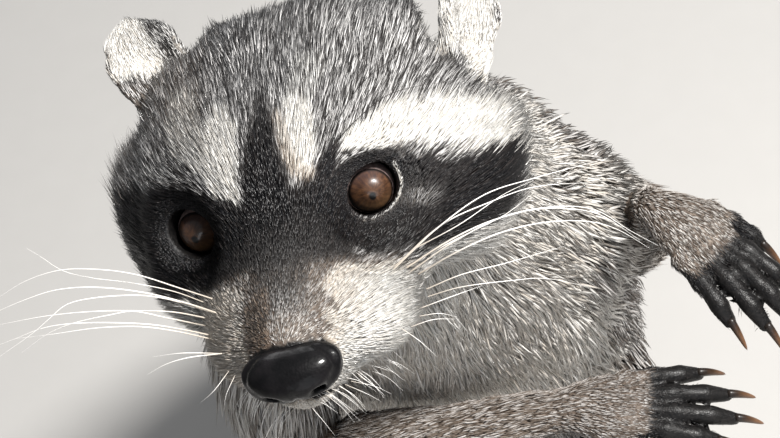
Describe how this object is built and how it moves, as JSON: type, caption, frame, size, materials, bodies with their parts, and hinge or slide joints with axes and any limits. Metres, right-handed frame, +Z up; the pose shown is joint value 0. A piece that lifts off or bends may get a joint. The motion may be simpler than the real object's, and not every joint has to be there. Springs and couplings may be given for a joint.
{
  "type": "raccoon",
  "caption": "Life-size still model of a raccoon sitting up on its haunches, head raised and turned to its left, forepaws reaching out to that side, ringed tail laid round behind.",
  "frame": {"origin": "middle of the flat under the rump, on the floor", "axes": "+Z up, -Y the way the animal's body faces, +X towards the animal's left side"},
  "size_m": [0.3746, 0.4225, 0.4191],
  "materials": {
    "coat": "grizzled grey-brown fur",
    "coat_pale": "pale grey-cream fur",
    "coat_dark": "black-brown fur",
    "paw": "dark bare skin with short flat hair",
    "claw": "smooth brown horn",
    "nose": "wet black nose pad",
    "eye": "glossy dark brown eye",
    "whisker": "white hair"
  },
  "bodies": {
    "root": {"head": "coat", "nose": "nose", "left_eye": "eye", "right_eye": "eye", "left_ear": "coat", "right_ear": "coat", "rump": "coat", "belly": "coat_pale", "chest": "coat_pale", "neck": "coat", "tail_1": "coat", "tail_2": "coat_dark", "tail_3": "coat", "tail_4": "coat_dark", "left_hand": "paw", "left_hand_claw_1": "claw", "left_hand_claw_2": "claw", "left_hand_claw_3": "claw", "left_hand_claw_4": "claw", "left_hand_claw_5": "claw", "left_upper_arm": "coat", "left_forearm": "coat", "right_hand": "paw", "right_hand_claw_1": "claw", "right_hand_claw_2": "claw", "right_hand_claw_3": "claw", "right_hand_claw_4": "claw", "right_hand_claw_5": "claw", "right_upper_arm": "coat", "right_forearm": "coat", "left_foot": "paw", "left_foot_claw_1": "claw", "left_foot_claw_2": "claw", "left_foot_claw_3": "claw", "left_foot_claw_4": "claw", "left_foot_claw_5": "claw", "left_thigh": "coat", "left_shank": "coat", "right_foot": "paw", "right_foot_claw_1": "claw", "right_foot_claw_2": "claw", "right_foot_claw_3": "claw", "right_foot_claw_4": "claw", "right_foot_claw_5": "claw", "right_thigh": "coat", "right_shank": "coat"}
  },
  "joints": []
}
